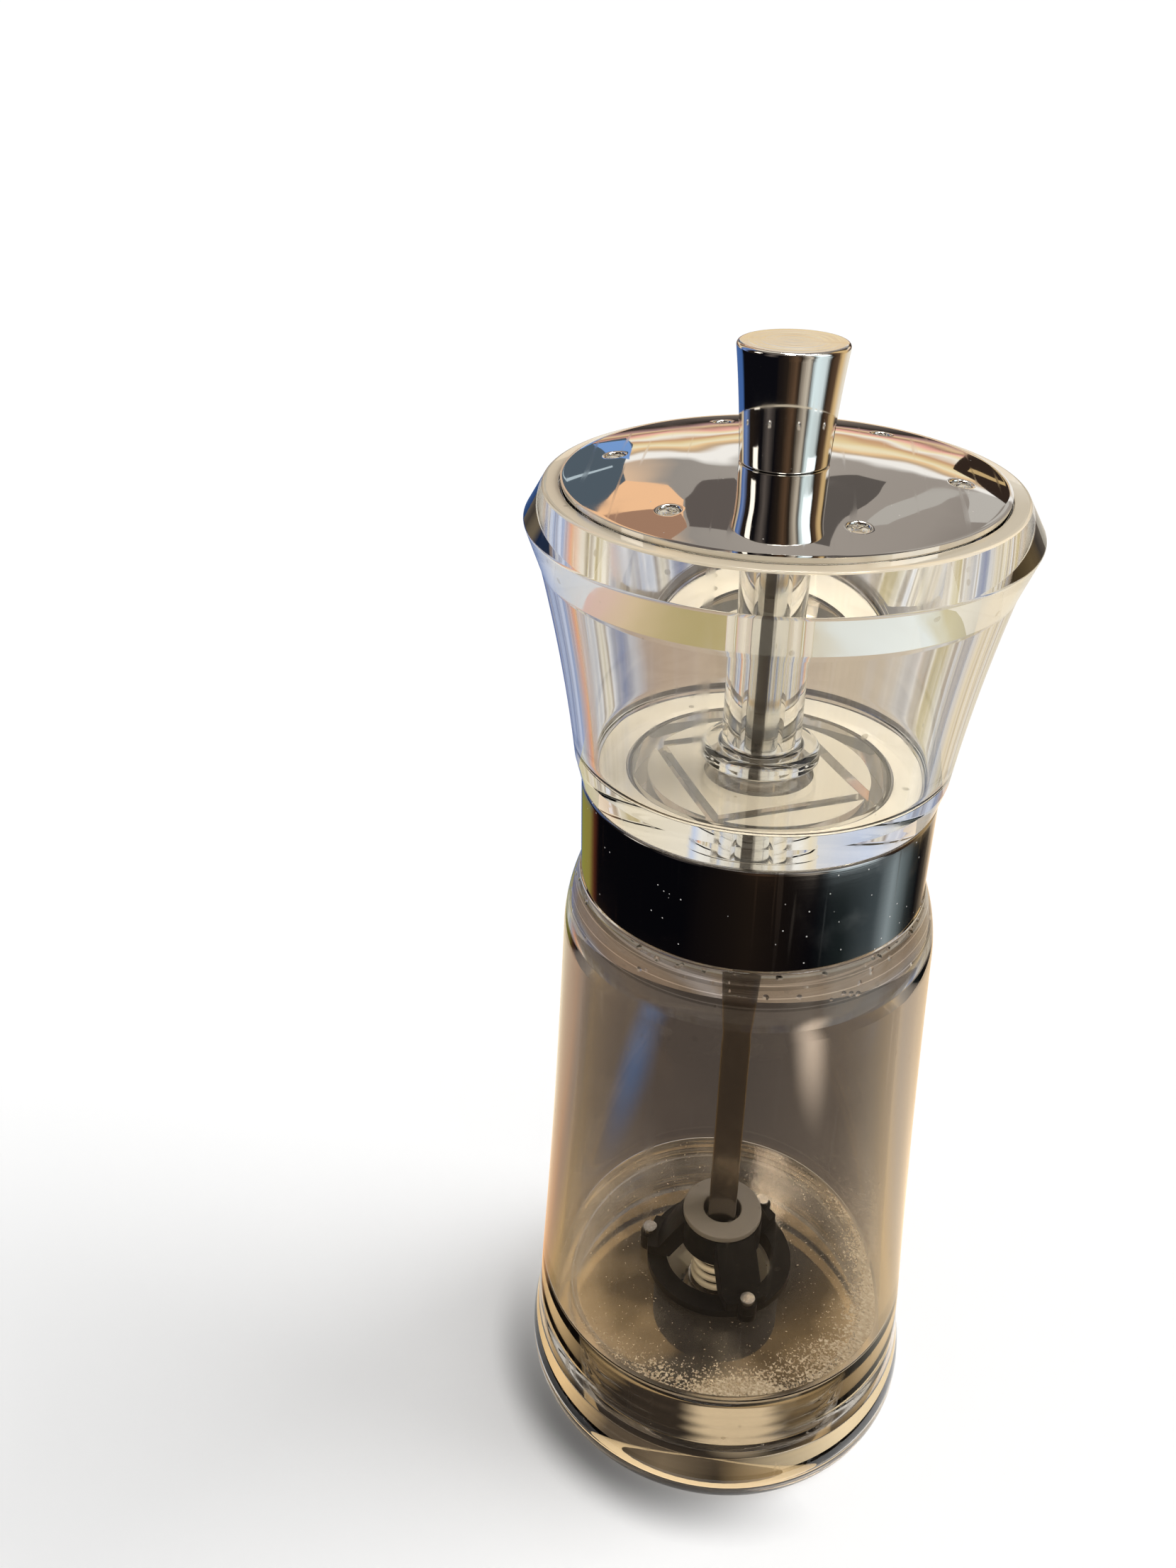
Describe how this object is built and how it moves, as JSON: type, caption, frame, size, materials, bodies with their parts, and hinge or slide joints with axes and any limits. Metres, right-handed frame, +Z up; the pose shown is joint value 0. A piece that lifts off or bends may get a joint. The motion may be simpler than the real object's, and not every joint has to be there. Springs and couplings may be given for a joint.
{
  "type": "salt shaker and pepper mill",
  "caption": "Hourglass table mill: a clear flared salt shaker with a pierced mirror cap turns on a clear pepper mill with a bright neck band and a burr grinder in its base.",
  "frame": {"origin": "centre of the foot, on the surface that it stands on", "axes": "+Z up along the turning axis; -Y faces the viewer of the picture"},
  "size_m": [0.0566, 0.0566, 0.1524],
  "materials": {
    "smoky_acrylic": "polished, smoke tinted, clear",
    "clear_acrylic": "polished, clear",
    "chrome": "mirror, fine wear lines",
    "bright_band": "polished, fine lines round the band",
    "black_plastic": "satin moulded",
    "grey_nylon": "matt moulded",
    "ceramic": "unglazed ceramic",
    "spring_steel": "drawn wire",
    "steel": "bright drawn"
  },
  "bodies": {
    "mill_body": {"pepper_chamber": "smoky_acrylic", "neck_band": "bright_band", "mill_floor": "clear_acrylic", "grinder_housing": "black_plastic", "bridge": "black_plastic", "bridge_screws": "steel", "shaft_bush": "grey_nylon", "stator_burr": "ceramic", "burr_retainer": "black_plastic", "thrust_washer": "steel"},
    "head": {"salt_chamber": "clear_acrylic", "drive_plug": "clear_acrylic", "shaft_tube": "clear_acrylic", "salt_cap": "chrome"},
    "adjuster": {"knob": "chrome"},
    "spindle": {"shaft": "steel", "rotor_burr": "ceramic", "spring_seat": "steel", "lock_washer": "steel", "lock_nut": "steel", "burr_spring": "spring_steel"}
  },
  "joints": [
    {"name": "head_turn", "type": "hinge", "parent": "mill_body", "child": "head", "pos_m": [0, 0, 0.1024], "axis": [0, 0, 1], "continuous": true},
    {"name": "knob_turn", "type": "hinge", "parent": "head", "child": "adjuster", "pos_m": [0, 0, 0.1401], "axis": [0, 0, 1], "range_deg": [0, 720]},
    {"name": "grind_adjust", "type": "slide", "parent": "head", "child": "spindle", "axis": [0, 0, -1], "range_m": [0, 0.0014], "deforming": ["burr_spring"]}
  ],
  "couplings": [
    {"joint": "knob_turn", "follows": "grind_adjust", "rad_per_m": 8976}
  ]
}
